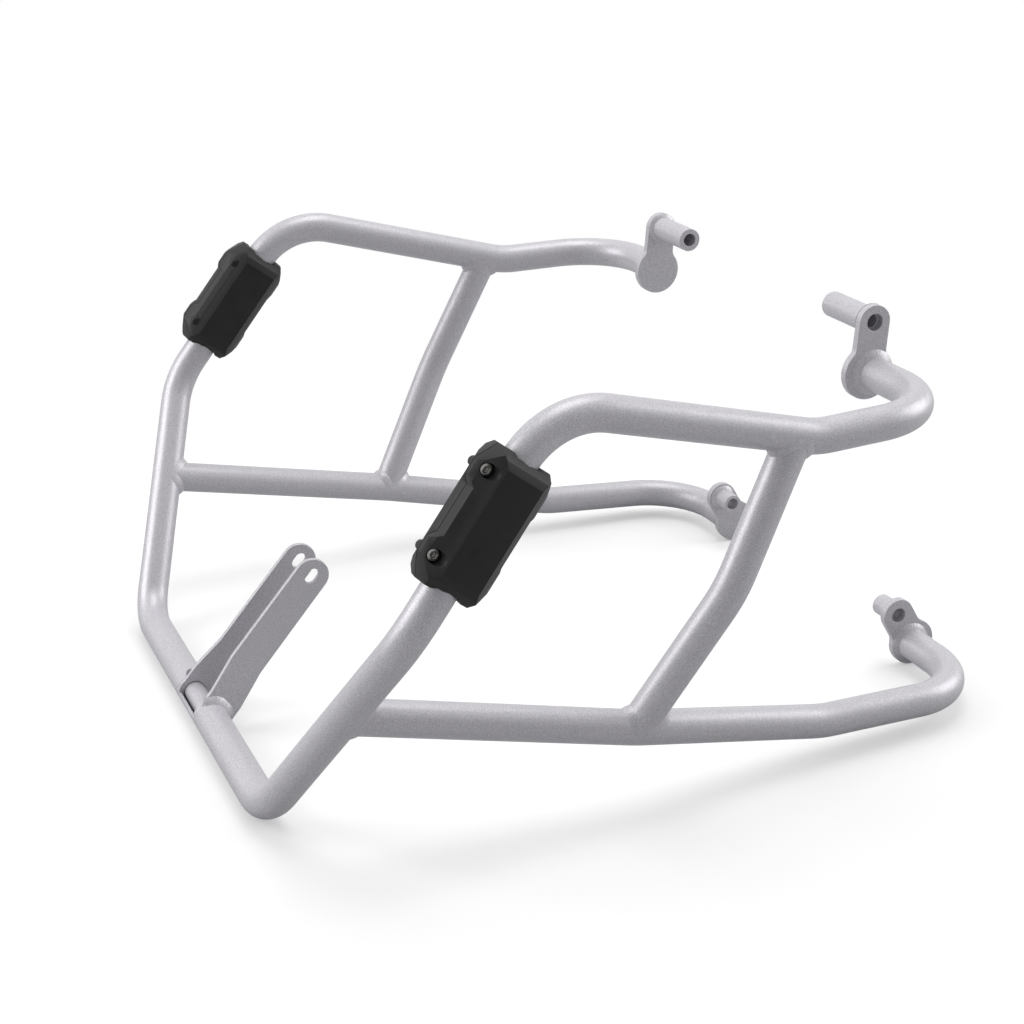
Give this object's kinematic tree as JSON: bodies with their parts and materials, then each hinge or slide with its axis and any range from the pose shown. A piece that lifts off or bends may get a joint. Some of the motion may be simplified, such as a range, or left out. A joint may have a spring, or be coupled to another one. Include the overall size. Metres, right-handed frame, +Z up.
{
  "type": "motorcycle crash bars",
  "caption": "Tubular engine guard for a motorcycle: bent light grey steel bars for both sides, joined at the front, with black plastic sliders and bolted rear mounts.",
  "frame": {"origin": "on the floor under the middle of the object, half way between the front of the cross tube and the back of the lower plates", "axes": "+X to the left side of the motorcycle, +Y to the rear, +Z up"},
  "size_m": [0.6242, 0.578, 0.318],
  "materials": {
    "powder_coat": "light grey powder coat, satin with a fine grain",
    "slider_plastic": "black moulded plastic, fine texture",
    "screw_steel": "bright zinc plated"
  },
  "bodies": {
    "root": {"left_main_tube": "powder_coat", "left_lower_tube": "powder_coat", "left_strut": "powder_coat", "left_ear": "powder_coat", "left_upper_plate": "powder_coat", "left_upper_spacer": "powder_coat", "left_lower_plate": "powder_coat", "left_lower_spacer": "powder_coat", "left_lower_tube_weld": "powder_coat", "left_strut_top_weld": "powder_coat", "left_strut_foot_weld": "powder_coat", "left_plate_welds": "powder_coat", "left_slider_outer": "slider_plastic", "left_slider_inner": "slider_plastic", "left_slider_screws": "screw_steel", "left_slider_inserts": "screw_steel", "right_main_tube": "powder_coat", "right_lower_tube": "powder_coat", "right_strut": "powder_coat", "right_ear": "powder_coat", "right_upper_plate": "powder_coat", "right_upper_spacer": "powder_coat", "right_lower_plate": "powder_coat", "right_lower_spacer": "powder_coat", "right_lower_tube_weld": "powder_coat", "right_strut_top_weld": "powder_coat", "right_strut_foot_weld": "powder_coat", "right_plate_welds": "powder_coat", "right_slider_outer": "slider_plastic", "right_slider_inner": "slider_plastic", "right_slider_screws": "screw_steel", "right_slider_inserts": "screw_steel", "spigot": "powder_coat", "joint_saddle": "powder_coat"}
  },
  "joints": []
}
